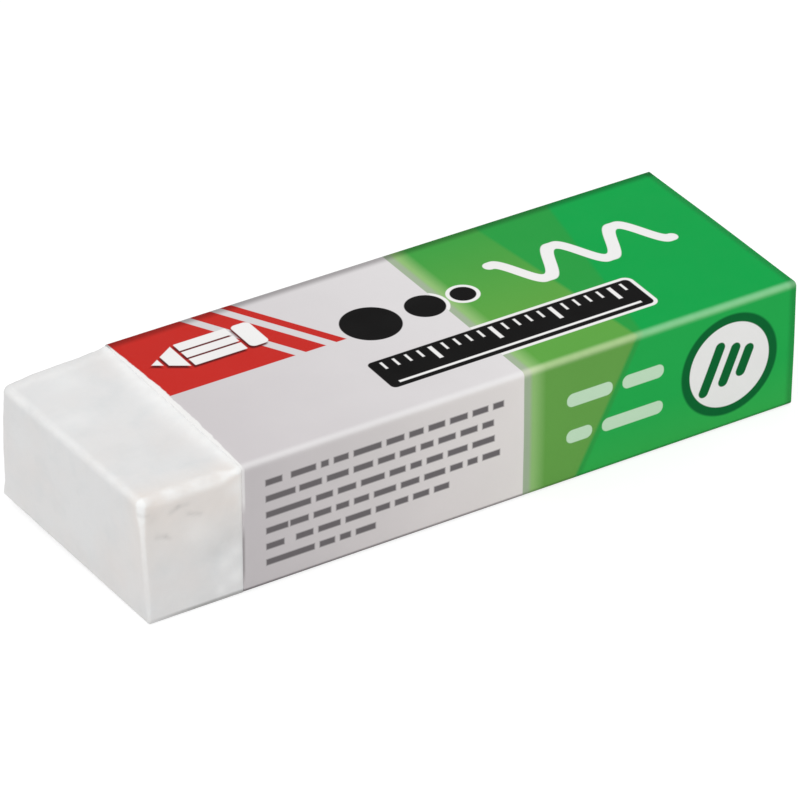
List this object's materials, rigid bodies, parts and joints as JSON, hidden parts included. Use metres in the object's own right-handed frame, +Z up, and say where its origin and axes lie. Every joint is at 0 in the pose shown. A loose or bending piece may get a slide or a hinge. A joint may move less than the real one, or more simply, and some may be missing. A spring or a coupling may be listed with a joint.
{
  "type": "vinyl eraser in a card sleeve",
  "caption": "White vinyl eraser block in a folded, printed card sleeve that slides back along it as the block wears.",
  "frame": {"origin": "on the table, under the middle of the whole part at rest", "axes": "+X along the block from its working end to its covered end, +Y to the side with the glued seam, +Z up through the printed top"},
  "size_m": [0.0654, 0.0226, 0.0123],
  "materials": {
    "vinyl": "soft matt white, slightly waxy",
    "printed_card": "thin coated card, printed grey and green, satin varnish, white cut edges"
  },
  "bodies": {
    "block": {"eraser_block": "vinyl"},
    "sleeve": {"card_sleeve": "printed_card"}
  },
  "joints": [
    {"name": "sleeve_slide", "type": "slide", "parent": "block", "child": "sleeve", "axis": [1, 0, 0], "range_m": [0, 0.05]}
  ]
}
